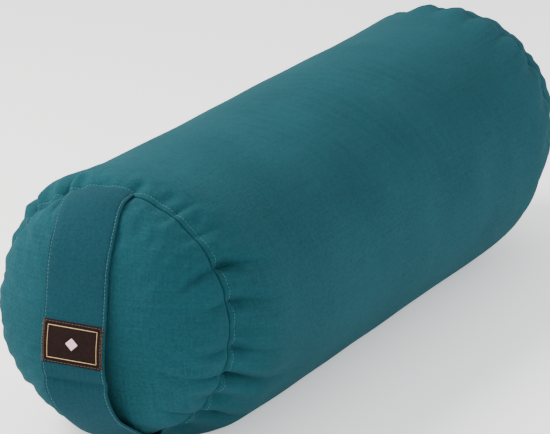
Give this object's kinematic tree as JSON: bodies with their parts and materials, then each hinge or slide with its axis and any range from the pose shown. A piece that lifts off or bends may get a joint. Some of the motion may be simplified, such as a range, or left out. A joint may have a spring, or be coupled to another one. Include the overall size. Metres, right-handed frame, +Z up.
{
  "type": "bolster pillow",
  "caption": "Round cylindrical bolster pillow with domed ends, a sewn carry strap across one end, a zipped cotton cover and a zipped inner bag of loose fill.",
  "frame": {"origin": "middle of the flattened underside that the bolster rests on, halfway between the two end seams", "axes": "+X along the bolster's axis, away from the end with the carry strap; +Z up; the cover's zip is on the +Y side"},
  "size_m": [0.6949, 0.2162, 0.203],
  "materials": {
    "teal_canvas": "matte",
    "teal_strap_canvas": "matte",
    "teal_thread": "satin",
    "brown_label_weave": "matte",
    "teal_zip_tape": "matte",
    "teal_zip_coil": "satin",
    "zip_metal": "satin",
    "natural_cotton": "matte",
    "natural_zip_tape": "matte",
    "natural_zip_coil": "satin",
    "natural_thread": "satin",
    "husk_fill": "matte"
  },
  "bodies": {
    "bolster": {"bag_zip_bartack_front": "natural_thread", "bag_zip_bartack_rear": "natural_thread", "bag_zip_coil_lower": "natural_zip_coil", "bag_zip_coil_upper": "natural_zip_coil", "bag_zip_tape_lower": "natural_zip_tape", "bag_zip_tape_upper": "natural_zip_tape", "cover_barrel_panel": "teal_canvas", "cover_end_panel_front": "teal_canvas", "cover_end_panel_rear": "teal_canvas", "cover_zip_bartack_front": "teal_thread", "cover_zip_bartack_rear": "teal_thread", "cover_zip_coil_lower": "teal_zip_coil", "cover_zip_coil_upper": "teal_zip_coil", "cover_zip_tape_lower": "teal_zip_tape", "cover_zip_tape_upper": "teal_zip_tape", "handle_edge_thread_lower_left": "teal_thread", "handle_edge_thread_lower_right": "teal_thread", "handle_edge_thread_upper_left": "teal_thread", "handle_edge_thread_upper_right": "teal_thread", "handle_strap_lower": "teal_strap_canvas", "handle_strap_upper": "teal_strap_canvas", "husk_filling": "husk_fill", "inner_bag_barrel_panel": "natural_cotton", "inner_bag_end_panel_front": "natural_cotton", "inner_bag_end_panel_rear": "natural_cotton", "seam_topstitch_front": "teal_thread", "seam_topstitch_rear": "teal_thread"},
    "cover_zip_slider": {"cover_zip_slider": "zip_metal"},
    "cover_zip_pull_tab": {"cover_zip_pull_tab": "zip_metal"},
    "bag_zip_slider": {"bag_zip_slider": "zip_metal"},
    "handle_grip": {"handle_strap_grip": "teal_strap_canvas", "handle_edge_thread_grip_left": "teal_thread", "handle_edge_thread_grip_right": "teal_thread", "handle_label": "brown_label_weave"}
  },
  "joints": [
    {"name": "cover_zip_slide", "type": "slide", "parent": "bolster", "child": "cover_zip_slider", "axis": [1, 0, 0], "range_m": [0, 0.4076]},
    {"name": "cover_zip_pull_hinge", "type": "hinge", "parent": "cover_zip_slider", "child": "cover_zip_pull_tab", "pos_m": [-0.2038, 0.10683, 0.06985], "axis": [0, 0.2334, 0.9724], "range_deg": [0, 170]},
    {"name": "bag_zip_slide", "type": "slide", "parent": "bolster", "child": "bag_zip_slider", "axis": [1, 0, 0], "range_m": [0, 0.3376]},
    {"name": "handle_lift", "type": "slide", "parent": "bolster", "child": "handle_grip", "axis": [-1, 0, 0], "range_m": [0, 0.015]}
  ]
}
